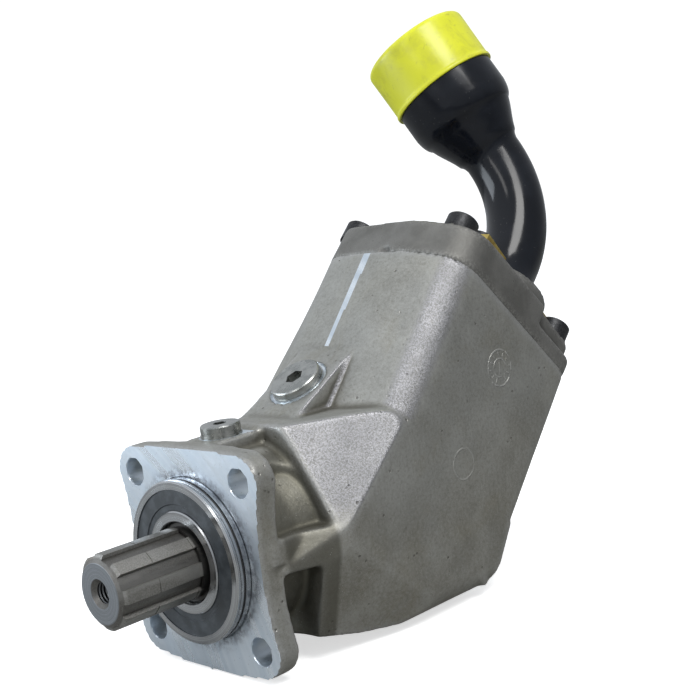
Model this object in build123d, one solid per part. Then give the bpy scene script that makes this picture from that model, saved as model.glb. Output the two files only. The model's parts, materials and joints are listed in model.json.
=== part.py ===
from build123d import *
import math
import os

# Bent-axis axial piston pump.
# Millimetres. Origin: centre of the mounting flange's face, on the shaft axis.
# The shaft lies along Y with its nose towards -Y, +Z is up, +X is to the right.

# ---- driving dimensions ----
BEND = 45.0                     # angle between shaft axis and barrel axis
PIVOT_Y = 100.0                 # where the two axes cross

BOLT_SQUARE = 80.0              # flange holes, centre to centre both ways
BOLT_HOLE_R = 7.0
FLANGE_T = 12.0
FLANGE_HALF = 53.3              # corner to corner half width
FLANGE_WAIST = 48.5             # half width between the holes
FLANGE_CORNER_R = 14.0
POCKET_X = 28.0                 # inner wall of the pockets behind the flange holes
UPPER_POCKET_Y = 40.5           # their back walls
LOWER_POCKET_Y = 31.0
NECK_R = 50.0
SPINE_HALF = 20.0               # half width of the land that carries the plugs

SPIGOT_R = 40.0                 # pilot spigot, formed by the front bearing's outer ring
SPIGOT_H = 8.0
SEATED_R = 38.5                 # the same ring where it sits in the housing
NOSE_Y = -55.0                  # end of the shaft
SPLINE_R = 18.0
SPLINE_ROOT_R = 16.0
SPLINE_TEETH = 8
SPLINE_TOOTH_W = 6.4
END_THREAD_R = 5.1              # thread in the shaft's end
END_THREAD_DEPTH = 26.0

JOINT_T = 121.8                 # end cap joint, measured along the barrel axis from the pivot
JOINT_BASE = 63.0               # outer side of the case, from the barrel axis, at the joint
CASE_BASE_0 = 69.5              # and near the pivot
INNER_DRAFT = 9.5               # how far the inner side draws in from the joint to the pivot
CUT_LOW = 33.0                  # where the cut-back corner meets the side
CHAMBER_R = 48.5                # barrel chamber in the housing
SEAT_R = 50.9                   # counterbore for the end cap's O-ring
CASE_HALF = 61.5                # half width of the case

PISTONS = 7
BALL_CIRCLE_R = 31.0            # ball centres in the drive flange
BALL_R = 8.5
BORE_R = 8.5
HEAD_R = 8.4
PISTON_L = 72.0                 # ball centre to head centre
RUN = 0.1                       # running clearance on moving spherical seats
DRIVE_FLANGE_R = 41.0
DRIVE_FACE_Y = 102.0

GEAR_TEETH = 36
GEAR_IN_R = 42.4
GEAR_OUT_R = 46.0
GEAR_ADD = 2.0                  # tooth height above the pitch cone
GEAR_DED = 2.5                  # tooth depth below it
GEAR_BACKLASH = 0.36

BARREL_R = 42.0
BARREL_T0 = 36.0                # lower face of the cylinder barrel
BARREL_T1 = 113.7               # face that runs on the valve plate
PLATE_T0 = 113.8
PIN_R = 8.0

CAP_FOOT = 10.0                 # full outline up to here
CAP_RIM = 21.8
CAP_SCREW_SEAT = 20.0
CAP_PAD_T = 150.0               # raised middle of the end cap
PORT_T = 152.0                  # suction port face
PORT_BOSS_R = 29.0
CAP_BORE_T = 137.0              # how deep both ports are bored
SUCTION_X = 28.0
SUCTION_E = -13.3
PRESSURE_X = -27.0
PRESSURE_THREAD_R = 15.15
SCREWS = [(41.5, -44.5), (-34.5, -45.5), (44.0, 52.0), (-44.0, 52.0)]
SCREW_R = 5.2                   # thread core
DOWELS = [(-30.0, 54.5), (30.0, -54.0)]

TUBE_R = 17.5
TUBE_WALL = 3.0
ELBOW_R = 70.0
ELBOW_STRAIGHT = 16.3
COLLAR_R = 22.5
COLLAR_T = 4.0
CLAMP_REACH = 31.0              # clamp screws, from the suction port's centre
CLAMP_ANGLE = -84.0
CLAMP_T = 8.2
HOSE_AXIS = Vector(-0.474, -0.177, 0.862)
CONE_L = 33.0
HOSE_END_R = 31.75
HOSE_END_L = 42.0
HOSE_VISIBLE = 16.0
COVER_WALL = 1.3
COVER_REACH = 34.0

S = math.sin(math.radians(BEND))
C = math.cos(math.radians(BEND))
BORE_CIRCLE_R = BALL_CIRCLE_R * (1 + C) / 2
OFFSET = BALL_CIRCLE_R * (1 - C) / 2
TILT = math.asin(OFFSET / PISTON_L)

# local z runs along the axis, local x is world X, local y points to the outer side of the bend
SHAFT = Plane(origin=(0, 0, 0), x_dir=(1, 0, 0), z_dir=(0, 1, 0))
BARREL = Plane(origin=(0, PIVOT_Y, 0), x_dir=(1, 0, 0), z_dir=(0, C, S))
B_DIR = Vector(0, C, S)
E_DIR = Vector(0, -S, C)
PIVOT = Vector(0, PIVOT_Y, 0)


# ---- helpers ----
def turned(points, plane):
    """Solid of revolution about the plane's z axis, from (radius, height) points."""
    face = make_face(Polyline([(r, 0, z) for r, z in points], close=True))
    return plane.location * revolve(face, axis=Axis.Z)


def tube(r_out, r_in, z0, z1, plane):
    return turned([(r_in, z0), (r_out, z0), (r_out, z1), (r_in, z1)], plane)


def rod(r, z0, z1, plane):
    return turned([(0, z0), (r, z0), (r, z1), (0, z1)], plane)


def rod_at(x, y, r, z0, z1, plane):
    return plane.location * Pos(x, y, (z0 + z1) / 2) * Cylinder(r, z1 - z0)


def torus_ring(r, section_r, z, plane):
    return plane.location * Pos(0, 0, z) * Torus(r, section_r)


def around(shape, count, plane, start=0.0):
    """Copies of a shape in local coordinates, spaced evenly about the plane's z axis."""
    return [plane.location * Rot(0, 0, start + 360.0 * i / count) * shape for i in range(count)]


def fused(first, others):
    return first.fuse(*others)


def screw_at(x, y, seat, thread_r, length, head_r, head_h, plane):
    """Socket-head screw, head up along local z, its head resting at the given height."""
    body = Pos(x, y, seat + head_h / 2) * Cylinder(head_r, head_h)
    body = chamfer(body.edges().group_by(Axis.Z)[-1], 0.08 * head_r)
    shank = Pos(x, y, seat - length / 2) * Cylinder(thread_r, length)
    key = RegularPolygon(0.55 * head_r, 6)
    socket = Pos(x, y, seat + head_h * 0.45) * extrude(key, head_h)
    return plane.location * ((body + shank) - socket)


# ---- housing ----
def flange_outline():
    """Square outline with round corners, waisted on the sides and crowned above and below."""
    half = FLANGE_HALF
    r = FLANGE_CORNER_R
    top = 54.8
    base = -56.0
    waist = FLANGE_WAIST
    c = half - r
    k = r * (1 - math.sqrt(0.5))
    parts = [
        ThreePointArc((-c, half), (0, top), (c, half)),
        ThreePointArc((c, half), (half - k, half - k), (half, c)),
        ThreePointArc((half, c), (waist, 0), (half, -c)),
        ThreePointArc((half, -c), (half - k, -half + k), (c, -half)),
        ThreePointArc((c, -half), (0, base), (-c, -half)),
        ThreePointArc((-c, -half), (-half + k, -half + k), (-half, -c)),
        ThreePointArc((-half, -c), (-waist, 0), (-half, c)),
        ThreePointArc((-half, c), (-half + k, half - k), (-c, half)),
    ]
    return parts


def flange_plate():
    """The mounting flange, drawn on the XZ plane and thickened towards +Y."""
    face = Plane(origin=(0, FLANGE_T, 0), x_dir=(1, 0, 0), z_dir=(0, -1, 0))
    return face.location * extrude(make_face(flange_outline()), FLANGE_T)


def case_outline(inner_drop, outer, cut_low):
    """Case outline in local (x, y): crowned on the inner side, one inner corner cut back."""
    h = CASE_HALF
    corners = [
        (-h, -cut_low, 12),
        (-27.5, -60.6 + inner_drop, 14),
        (25, -61.8 + inner_drop, 60),
        (h, -51.5 + inner_drop, 20),
        (h, outer, 13),
        (-h, outer, 13),
    ]
    points = [(x, y) for x, y, r in corners]
    return FilletPolyline(*points, radius=[r for x, y, r in corners], close=True)


def barrel_case():
    """The square-sided barrel chamber, with casting draft on its inner and outer sides."""
    joint = make_face(case_outline(0, JOINT_BASE, CUT_LOW))
    deep = make_face(case_outline(INNER_DRAFT, CASE_BASE_0, CUT_LOW + 4))
    low = -8.0
    return BARREL.location * loft([Pos(0, 0, low) * deep, Pos(0, 0, JOINT_T) * joint], ruled=True)


def side_profile(points, half_width):
    """A prism across the body from (y, z) points, reaching equally to both sides."""
    face = make_face(Polyline([(0, y, z) for y, z in points], close=True))
    return extrude(face, half_width, dir=(1, 0, 0), both=True)


def barrel_point(t, outer):
    """(y, z) of a point on the mid-plane, t along the barrel axis, outer towards the bend's outside."""
    p = PIVOT + B_DIR * t - E_DIR * outer
    return (p.Y, p.Z)


def bend_case():
    """The body along the shaft, from the flange to the bend, with its long edges rounded."""
    outline = Pos(0, 100, 2.4) * Box(2 * CASE_HALF, 180, 109.2)
    return fillet(outline.edges().filter_by(Axis.Y), 13)


def bend_limit():
    """Keeps the bend's body inside the barrel chamber's back and inner sides."""
    points = [(10, -60), (140, -60), barrel_point(30, 62), (106, 57), (10, 57)]
    return side_profile(points, 80)


def body_envelope():
    """Everything outside this side-view outline is air."""
    bottom = [(10, -37), (28, -42.5), (55, -48.5), (80, -51.5), (112, -52.2), (129.5, -52.2)]
    heel_mid = (144.7, -49.3)
    heel_end = barrel_point(12, 69.0)
    joint_base = barrel_point(JOINT_T, 70)
    joint_top = barrel_point(JOINT_T, -70)
    inner = [joint_top, barrel_point(20, -66), (40, 57), (10, 57)]
    lines = [Polyline([(0, y, z) for y, z in bottom])]
    lines.append(ThreePointArc((0,) + bottom[-1], (0,) + heel_mid, (0,) + heel_end))
    lines.append(Polyline([(0, y, z) for y, z in [heel_end, joint_base] + inner + [bottom[0]]]))
    return extrude(make_face(lines), 80, dir=(1, 0, 0), both=True)


def side_cuts():
    """Flat facets that narrow the body from its full width down to the flange and neck."""
    cuts = []
    for side in (1, -1):
        web = Plane(origin=(side * 49.8, FLANGE_T, 0), z_dir=(side * 0.945, -0.327, 0))
        upper = Plane(origin=(side * 56, 38.5, 11), z_dir=(side * 0.742, -0.445, 0.501))
        lower = Plane(origin=(side * 58, 34, -3), z_dir=(side * 0.938, -0.223, -0.266))
        for facet in (web, upper, lower):
            cuts.append(facet.location * Pos(0, 0, 60) * Box(400, 400, 120))
    far = Plane(origin=(-SPINE_HALF, 60, 56), z_dir=(-0.55, -0.25, 0.80))
    cuts.append(far.location * Pos(0, 0, 60) * Box(400, 400, 120))
    cuts.append(Pos(0, (10 + UPPER_POCKET_Y) / 2, 50) * Box(140, UPPER_POCKET_Y - 10, 40))
    return cuts


def pocket_plan(back, r):
    """Pocket seen from above: open to the side, its back corner rounded by radius r."""
    x = POCKET_X
    k = r * (1 - math.sqrt(0.5))
    lines = [
        Line((x, FLANGE_T), (x, back - r)),
        ThreePointArc((x, back - r), (x + k, back - k), (x + r, back)),
        Polyline([(x + r, back), (x + 50, back), (x + 50, FLANGE_T), (x, FLANGE_T)]),
    ]
    return make_face(lines)


def bolt_pocket(side, upper):
    """Room behind one flange hole for the bolt's head and the spanner."""
    inner = 11.0 if upper else -6.0
    outer = 75.0 if upper else -60.0
    back = UPPER_POCKET_Y if upper else LOWER_POCKET_Y
    room = Pos(POCKET_X + 25, 50, (inner + outer) / 2) * Box(50, 90, abs(outer - inner))
    room = fillet(room.edges().filter_by(Axis.Y), 9)
    pocket = room & extrude(pocket_plan(back, 12), 80, both=True)
    return pocket if side > 0 else mirror(pocket, about=Plane.YZ)


def plug_frame(y, z, tilt):
    """Frame on a plug seat: local z leaves the housing, tilted from +Z towards -Y."""
    a = math.radians(tilt)
    return Plane(origin=(0, y, z), x_dir=(1, 0, 0), z_dir=(0, -math.sin(a), math.cos(a)))


DRAIN_SEAT = plug_frame(80.5, 68.9, 30.0)
VENT_SEAT = plug_frame(26.0, 54.7, 2.0)


def spine():
    """Raised land along the top, from the flange over the neck to the barrel chamber."""
    front = side_profile([(10, 52), (14, 54.5), (37, 55), (50, 55.8), (50, 40), (10, 40)], 13)
    land = [(41, 45), (41, 55.2), (50, 55.8), (56, 57), (62, 60), (105, 85), (105, 40)]
    return front + side_profile(land, SPINE_HALF)


def mid_rib():
    """Narrow machined witness strip up the middle of the inner face."""
    low = barrel_point(62.5, -56.9)
    high = barrel_point(JOINT_T, -61.3)
    under_high = barrel_point(JOINT_T, -55)
    under_low = barrel_point(62.5, -52)
    return side_profile([low, high, under_high, under_low], 2.8)


def neck():
    """Wall round the bearings, from the flange to the bend."""
    return turned([(0, 6), (44.5, 6), (44.5, 28), (NECK_R, 48), (NECK_R, 66), (0, 66)], SHAFT)


def neck_back():
    """The neck's rounded back, between the flange and the bend."""
    return rod(NECK_R, 6, 50, SHAFT) & Pos(0, 30, 50) * Box(140, 60, 100)


def housing_solid():
    body = bend_case() & bend_limit()
    for cut in side_cuts():
        body = body - cut
    body = ((body + barrel_case()) & body_envelope()) + neck_back()
    for side in (1, -1):
        body = body - bolt_pocket(side, True) - bolt_pocket(side, False)
    return body + neck() + spine() + mid_rib() + flange_plate()


def housing_bores():
    """Everything machined out of the housing."""
    cuts = [
        rod(SEATED_R + 0.02, -1, 10.0, SHAFT),
        turned([(0, -1), (40.9, -1), (40.9, 0), (SEATED_R, 1.2), (0, 1.2)], SHAFT),
        rod(37.2, 9.9, 12.0, SHAFT),
        rod(36.0, 11.9, 34.1, SHAFT),
        rod(32.0, 34, 50.3, SHAFT),
        rod(42.52, 50.2, 71.2, SHAFT),
        rod(47.7, 71.1, 106, SHAFT),
        Pos(0, PIVOT_Y, 0) * Sphere(47.7),
        rod(CHAMBER_R, 8, JOINT_T + 1, BARREL),
        rod(SEAT_R, JOINT_T - 2.3, JOINT_T + 1, BARREL),
        rod(16.5, 0, 30, DRAIN_SEAT),
        rod(9.0, -30, 1, DRAIN_SEAT),
        rod(11.6, 0, 20, VENT_SEAT),
        rod(5.0, -23, 1, VENT_SEAT),
    ]
    for x in (-BOLT_SQUARE / 2, BOLT_SQUARE / 2):
        for z in (-BOLT_SQUARE / 2, BOLT_SQUARE / 2):
            cuts.append(rod_at(x, z, BOLT_HOLE_R, -1, FLANGE_T + 1, SHAFT))
    for x, y in SCREWS:
        cuts.append(rod_at(x, y, SCREW_R + 0.02, JOINT_T - 30, JOINT_T + 1, BARREL))
    for x, y in DOWELS:
        cuts.append(rod_at(x, y, 2.02, JOINT_T - 8.2, JOINT_T + 1, BARREL))
    return cuts


def pump_housing():
    body = housing_solid()
    for cut in housing_bores():
        body = body - cut
    return body


# ---- bearings and seals on the shaft ----
FRONT_BALL_CIRCLE = 30.0
FRONT_BALL_R = 6.35
FRONT_BALL_Y = 1.0
FRONT_BALLS = 9


def front_bearing_outer_ring():
    """Ball bearing outer ring; its front part stands out as the pilot spigot."""
    r = SPIGOT_R
    outline = [(36, -8), (39.2, -8), (r, -7.2), (r, -6.2), (39.6, -6.0), (39.6, -5.7), (r, -5.5)]
    outline += [(r, -4.2), (38.5, -4.2), (38.5, -2.8), (r, -2.8), (r, -0.1), (SEATED_R, -0.1)]
    outline += [(SEATED_R, 9.3), (37.9, 9.95), (34.6, 9.95), (34.6, -5.4), (36, -5.4)]
    return turned(outline, SHAFT) - torus_ring(FRONT_BALL_CIRCLE, 6.6, FRONT_BALL_Y, SHAFT)


def front_bearing_inner_ring():
    outline = [(20.02, -7.4), (20.6, -8), (24.8, -8), (25.4, -7.4), (25.4, 9.95), (20.02, 9.95)]
    return turned(outline, SHAFT) - torus_ring(FRONT_BALL_CIRCLE, 6.6, FRONT_BALL_Y, SHAFT)


def front_bearing_seal():
    outline = [(25.55, -6.9), (28.3, -6.9), (28.7, -7.4), (35.9, -7.4), (35.9, -5.5), (25.55, -5.5)]
    return turned(outline, SHAFT)


def front_bearing_balls():
    ball = Pos(FRONT_BALL_CIRCLE, 0, FRONT_BALL_Y) * Sphere(FRONT_BALL_R)
    return Compound(around(ball, FRONT_BALLS, SHAFT))


def front_bearing_cage():
    """Crown cage: a band behind the balls with open pockets."""
    cage = tube(31.8, 28.2, 1.5, 8.8, SHAFT)
    pocket = Pos(FRONT_BALL_CIRCLE, 0, FRONT_BALL_Y) * Sphere(FRONT_BALL_R + 0.06)
    for cut in around(pocket, FRONT_BALLS, SHAFT):
        cage = cage - cut
    return cage


def spigot_o_ring():
    return torus_ring(39.3, 0.66, -3.5, SHAFT)


def carrier_circlip():
    ring = tube(37.1, 33.4, 10.4, 11.9, SHAFT)
    gap = SHAFT.location * Pos(0, 35, 11) * Box(8, 8, 4)
    return ring - gap


def seal_carrier():
    outline = [(31.0, 12.1), (35.96, 12.1), (35.96, 25.6), (34.2, 25.6), (34.2, 28.4), (35.96, 28.4)]
    outline += [(35.96, 34.0), (27, 34.0), (27, 32.1), (31.0, 32.1)]
    return turned(outline, SHAFT)


def seal_carrier_o_ring():
    return torus_ring(35.07, 0.86, 27.0, SHAFT)


def shaft_seals():
    """Two lip seals, one behind the other."""
    rings = []
    for z in (15.5, 24.0):
        outline = [(21.1, z + 4.6), (21.6, z + 5.6), (23.4, z + 2.2), (28.6, z + 2.0), (28.6, z + 7.4)]
        outline += [(30.95, z + 7.4), (30.95, z), (23.0, z), (22.0, z + 1.0)]
        rings.append(turned(outline, SHAFT))
    return Compound(rings)


ROLLERS = 15
ROLLER_TILT = 12.0
CONE_APEX_Y = -97.6             # the rollers' axes meet here on the shaft axis
ROLLER_MID = 161.6
ROLLER_L = 14.0
ROLLER_SLOPE = 0.026            # roller radius over distance from the apex
RACE_GAP = 0.06                 # degrees


def cone_radius(y, angle):
    return (y - CONE_APEX_Y) * math.tan(math.radians(angle))


def race_angle(side):
    return ROLLER_TILT + side * (math.degrees(math.asin(ROLLER_SLOPE)) + RACE_GAP)


def rear_bearing_outer_ring():
    a = race_angle(1)
    outline = [(cone_radius(50.4, a), 50.4), (42.5, 50.4), (42.5, 69.5), (cone_radius(69.5, a), 69.5)]
    return turned(outline, SHAFT)


def rear_bearing_inner_ring():
    a = race_angle(-1)
    outline = [(22.52, 51), (cone_radius(51, a), 51), (cone_radius(68.4, a), 68.4), (33.6, 68.7)]
    outline += [(33.6, 70.7), (22.52, 70.7)]
    return turned(outline, SHAFT)


def roller(extra):
    low = (ROLLER_MID - ROLLER_L / 2) * ROLLER_SLOPE + extra
    high = (ROLLER_MID + ROLLER_L / 2) * ROLLER_SLOPE + extra
    body = Cone(low, high, ROLLER_L + 2 * extra)
    return Pos(0, 0, CONE_APEX_Y) * Rot(0, ROLLER_TILT, 0) * Pos(0, 0, ROLLER_MID) * body


def rear_bearing_rollers():
    return Compound(around(roller(0), ROLLERS, SHAFT))


def rear_bearing_cage():
    """Conical cage with a window for each roller."""
    low = cone_radius(51.2, ROLLER_TILT)
    high = cone_radius(70.2, ROLLER_TILT)
    cage = turned([(low - 0.7, 51.2), (low + 0.7, 51.2), (high + 0.7, 70.2), (high - 0.7, 70.2)], SHAFT)
    for cut in around(roller(0.12), ROLLERS, SHAFT):
        cage = cage - cut
    return cage


# ---- input shaft and timing gears ----
def ring_angle(i):
    """Angle of piston i, measured from the top towards +X."""
    return 2 * math.pi * i / PISTONS


def spline_nose():
    nose = turned([(0, NOSE_Y), (14.2, NOSE_Y), (SPLINE_R, -52.2), (SPLINE_R, -8.8), (0, -8.8)], SHAFT)
    root = SPLINE_ROOT_R
    core = turned([(0, NOSE_Y), (14.2, NOSE_Y), (root, NOSE_Y + 1.33), (root, -8.8), (0, -8.8)], SHAFT)
    for i in range(SPLINE_TEETH // 2):
        bar = Rot(0, 0, 360.0 * i / SPLINE_TEETH) * Box(2 * SPLINE_R + 2, SPLINE_TOOTH_W, 46.2)
        core = core + (nose & (SHAFT.location * Pos(0, 0, -31.9) * bar))
    for y in (-35.0, -12.0):
        core = core - tube(SPLINE_R + 1, SPLINE_R - 0.35, y, y + 0.8, SHAFT)
    return core


def input_shaft():
    """Splined nose, bearing seats and drive flange with its ball sockets."""
    outline = [(0, -9.4), (17.6, -9.4), (17.6, -5.2), (19.3, -5.2), (20, -4.5), (20, 10.3), (21, 10.6)]
    outline += [(21, 46), (22.5, 46.5), (22.5, 70.8), (27.5, 70.8), (27.5, 74), (DRIVE_FLANGE_R, 74)]
    outline += [(DRIVE_FLANGE_R, DRIVE_FACE_Y - 1), (DRIVE_FLANGE_R - 1, DRIVE_FACE_Y), (0, DRIVE_FACE_Y)]
    body = turned(outline, SHAFT) + spline_nose()
    thread = [(0, NOSE_Y - 1), (7.2, NOSE_Y - 1), (7.2, NOSE_Y), (END_THREAD_R, NOSE_Y + 2.1)]
    thread += [(END_THREAD_R, NOSE_Y + END_THREAD_DEPTH), (0, NOSE_Y + END_THREAD_DEPTH + 2.5)]
    body = body - turned(thread, SHAFT)
    for i in range(PISTONS):
        a = ring_angle(i)
        x = BALL_CIRCLE_R * math.sin(a)
        y = -BALL_CIRCLE_R * math.cos(a)
        body = body - SHAFT.location * Pos(x, y, PIVOT_Y) * Sphere(BALL_R + RUN)
        body = body - rod_at(x, y, 11.6, PIVOT_Y - 0.4, DRIVE_FACE_Y + 1, SHAFT)
    return body


SHAFT_GEAR = Plane(origin=PIVOT, x_dir=(0, 0, 1), z_dir=(0, -1, 0))
BARREL_GEAR = Plane(origin=PIVOT, x_dir=E_DIR, z_dir=B_DIR)


def tooth_section(r):
    """Trapezoid across one tooth, square to the pitch cone's line at pitch radius r."""
    half_cone = math.radians(90 - BEND / 2)
    k = r / GEAR_OUT_R
    z = r / math.tan(half_cone)
    nx = math.cos(half_cone)
    nz = -math.sin(half_cone)
    mid = math.pi * r / (2 * GEAR_TEETH) - GEAR_BACKLASH / 4
    slope = math.tan(math.radians(20))
    tip = k * GEAR_ADD
    root = -k * (GEAR_DED + 0.3)
    corners = []
    for h, side in ((tip, 1), (tip, -1), (root, -1), (root, 1)):
        w = mid - h * slope
        corners.append((r + nx * h, side * w, z + nz * h))
    return make_face(Polyline(corners, close=True))


def timing_gear(plane, start):
    """Bevel ring whose pitch cone has its apex where the shaft and barrel axes cross."""
    tooth = loft([tooth_section(GEAR_IN_R), tooth_section(GEAR_OUT_R)], ruled=True)
    seat = DRIVE_FLANGE_R + 0.05
    bed = [(seat, 19.45), (45.04, 21.36), (46, 21.8), (46, 26), (seat, 26)]
    return fused(turned(bed, plane), around(tooth, GEAR_TEETH, plane, start))


def shaft_timing_gear():
    return timing_gear(SHAFT_GEAR, 0)


def barrel_timing_gear():
    return timing_gear(BARREL_GEAR, 180.0 / GEAR_TEETH)


# ---- barrel, pistons and valve plate ----
def cylinder_barrel():
    outline = [(12, BARREL_T0), (41.4, BARREL_T0), (41.4, 26.02), (46, 26.02), (46, 37), (BARREL_R, 41)]
    outline += [(BARREL_R, BARREL_T1), (12, BARREL_T1)]
    body = turned(outline, BARREL)
    for i in range(PISTONS):
        a = ring_angle(i)
        x = BORE_CIRCLE_R * math.sin(a)
        y = -BORE_CIRCLE_R * math.cos(a)
        body = body - rod_at(x, y, BORE_R, BARREL_T0 - 1, 105, BARREL)
        for step in (-9, 0, 9):
            b = a + math.radians(step)
            port = (BORE_CIRCLE_R * math.sin(b), -BORE_CIRCLE_R * math.cos(b))
            body = body - rod_at(port[0], port[1], 4.2, 104, BARREL_T1 + 1, BARREL)
    return body


def barrel_bushing():
    return tube(11.98, PIN_R + 0.08, 44, 64, BARREL)


def barrel_springs():
    """Stack of disc springs round the support pin."""
    discs = []
    for i in range(8):
        z = 65 + 2.5 * i
        low, high = (z, z + 1) if i % 2 else (z + 1, z)
        discs.append(turned([(8.6, low), (11.8, high), (11.8, high + 1.2), (8.6, low + 1.2)], BARREL))
    return Compound(discs)


def barrel_support_pin():
    return rod(PIN_R, 42, JOINT_T + 12, BARREL)


def kidney(mid_deg, half_deg, half_width, z0, z1):
    """Curved slot on the bore circle."""
    r = BORE_CIRCLE_R
    w = half_width
    face = make_face(Polyline([(r - w, 0, z0), (r + w, 0, z0), (r + w, 0, z1), (r - w, 0, z1)], close=True))
    slot = Rot(0, 0, mid_deg - half_deg) * revolve(face, axis=Axis.Z, revolution_arc=2 * half_deg)
    for end in (-half_deg, half_deg):
        a = math.radians(mid_deg + end)
        cap = Cylinder(w, z1 - z0)
        slot = slot + Pos(r * math.cos(a), r * math.sin(a), (z0 + z1) / 2) * cap
    return BARREL.location * slot


def valve_plate():
    plate_body = tube(BARREL_R, 12.2, PLATE_T0, JOINT_T - 0.02, BARREL)
    plate_body = plate_body - kidney(0, 58, 4.6, PLATE_T0 - 1, JOINT_T + 1)
    plate_body = plate_body - kidney(180, 54, 4.2, PLATE_T0 - 1, JOINT_T + 1)
    return plate_body - rod_at(0, -37, 2.02, 117, JOINT_T + 1, BARREL)


def valve_plate_dowel():
    return rod_at(0, -37, 2.0, 117.2, JOINT_T + 5, BARREL)


def piston_plane(i):
    """Frame of piston i: origin at its ball, z towards its head."""
    a = ring_angle(i)
    ball = PIVOT + (Vector(0, 0, 1) * math.cos(a) + Vector(1, 0, 0) * math.sin(a)) * BALL_CIRCLE_R
    lean = E_DIR * math.cos(a) - Vector(1, 0, 0) * math.sin(a)
    return Plane(origin=ball, x_dir=(1, 0, 0), z_dir=B_DIR * math.cos(TILT) + lean * math.sin(TILT))


def piston_rod_r(z):
    return 8.1 - 0.07 * (PISTON_L - z)


def piston(i):
    """Ball foot, tapered rod and spherical head with one ring groove."""
    taper = turned([(0, 4), (piston_rod_r(4), 4), (piston_rod_r(69), 69), (0, 69)], Plane.XY)
    head = Pos(0, 0, PISTON_L) * Sphere(HEAD_R)
    head = head - Pos(0, 0, PISTON_L + 11) * Box(30, 30, 10)
    head = head - tube(HEAD_R + 1, 7.45, PISTON_L - 1, PISTON_L + 1, Plane.XY)
    return piston_plane(i).location * (Sphere(BALL_R) + taper + head)


def piston_ring(i):
    return tube(8.36, 7.5, PISTON_L - 0.9, PISTON_L + 0.9, piston_plane(i))


def piston_retaining_ring(i):
    """Ring round the ball foot, let into the drive flange."""
    ball = piston_plane(i).origin
    frame = Plane(origin=ball, x_dir=(1, 0, 0), z_dir=(0, 1, 0))
    return turned([(8.64, -0.3), (11.4, -0.3), (11.4, 1.95), (8.44, 1.95), (8.62, 0.6)], frame)


# ---- end cap and its hardware ----
PORT_Y = -SUCTION_E


def rim_outline():
    """The cap's outline above its foot, drawn in beside the two outer screws."""
    h = CASE_HALF
    corners = [
        (-h, -CUT_LOW, 12),
        (-27.5, -60.6, 14),
        (25, -61.8, 60),
        (h, -51.5, 20),
        (h, 19.5, 3),
        (56.5, 25.5, 3),
        (54.6, 62.6, 10),
        (-54.6, 62.6, 10),
        (-56.5, 25.5, 3),
        (-h, 19.5, 3),
    ]
    return FilletPolyline(*[(x, y) for x, y, r in corners], radius=[r for x, y, r in corners], close=True)


def cap_body():
    """Foot, rim, raised middle, port bosses and clamp bosses."""
    outline = make_face(case_outline(0, JOINT_BASE, CUT_LOW))
    foot = Pos(0, 0, JOINT_T) * extrude(outline, CAP_FOOT)
    rim = Pos(0, 0, JOINT_T) * extrude(make_face(rim_outline()), CAP_RIM)
    rim = chamfer(rim.edges().group_by(Axis.Z)[-1], 1.2)
    low = JOINT_T + CAP_RIM - 1
    up = (Align.CENTER, Align.CENTER, Align.MIN)
    pad = Pos(2, 0, low) * Cylinder(50, CAP_PAD_T - low, align=up)
    pad = chamfer(pad.edges().group_by(Axis.Z)[-1], 3)
    boss = Pos(SUCTION_X, PORT_Y, low) * Cylinder(PORT_BOSS_R, PORT_T - low, align=up)
    boss = chamfer(boss.edges().group_by(Axis.Z)[-1], 1)
    body = BARREL.location * (foot + rim + pad + boss)
    body = body + rod_at(PRESSURE_X, 0, 23.0, low, PORT_T, BARREL)
    for x, y in clamp_places():
        body = body + rod_at(x, y, 9.5, low, PORT_T, BARREL)
    return body


def end_cap():
    """Iron port plate, with its screw seats, ports, kidneys and pin holes."""
    body = cap_body()
    seat = JOINT_T + CAP_SCREW_SEAT
    for x, y in SCREWS:
        body = body - rod_at(x, y, 6.6, JOINT_T - 1, seat + 1, BARREL)
        body = body - rod_at(x, y, 10.5, seat, PORT_T + 5, BARREL)
    body = body - rod_at(SUCTION_X, PORT_Y, TUBE_R + 0.5, CAP_BORE_T, PORT_T + 1, BARREL)
    body = body - rod_at(PRESSURE_X, 0, PRESSURE_THREAD_R, CAP_BORE_T, PORT_T + 1, BARREL)
    body = body - kidney(0, 58, 4.6, JOINT_T - 1, CAP_BORE_T + 2)
    body = body - kidney(180, 54, 4.2, JOINT_T - 1, CAP_BORE_T + 2)
    body = body - rod(PIN_R + 0.02, JOINT_T - 1, JOINT_T + 12.2, BARREL)
    body = body - rod_at(0, -37, 2.02, JOINT_T - 1, JOINT_T + 5.2, BARREL)
    for x, y in DOWELS:
        body = body - rod_at(x, y, 2.02, JOINT_T - 1, JOINT_T + 8.2, BARREL)
    for x, y in clamp_places():
        body = body - rod_at(x, y, 4.02, PORT_T - 16, PORT_T + 1, BARREL)
    pry = Pos(12, -61.5, JOINT_T) * Rot(90, 0, 0) * Cylinder(4, 5)
    return body - BARREL.location * pry


def end_cap_screws():
    seat = JOINT_T + CAP_SCREW_SEAT
    return Compound([screw_at(x, y, seat, SCREW_R, 46, 9.0, 12.0, BARREL) for x, y in SCREWS])


def end_cap_o_ring():
    return torus_ring(49.85, 1.0, JOINT_T - 1.15, BARREL)


def housing_dowels():
    return Compound([rod_at(x, y, 2.0, JOINT_T - 8, JOINT_T + 8, BARREL) for x, y in DOWELS])


# ---- suction fitting ----
def clamp_places():
    """Clamp screws, to either side of the suction port."""
    a = math.radians(CLAMP_ANGLE)
    x = CLAMP_REACH * math.cos(a)
    y = CLAMP_REACH * math.sin(a)
    return [(SUCTION_X + x, PORT_Y + y), (SUCTION_X - x, PORT_Y - y)]


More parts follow.
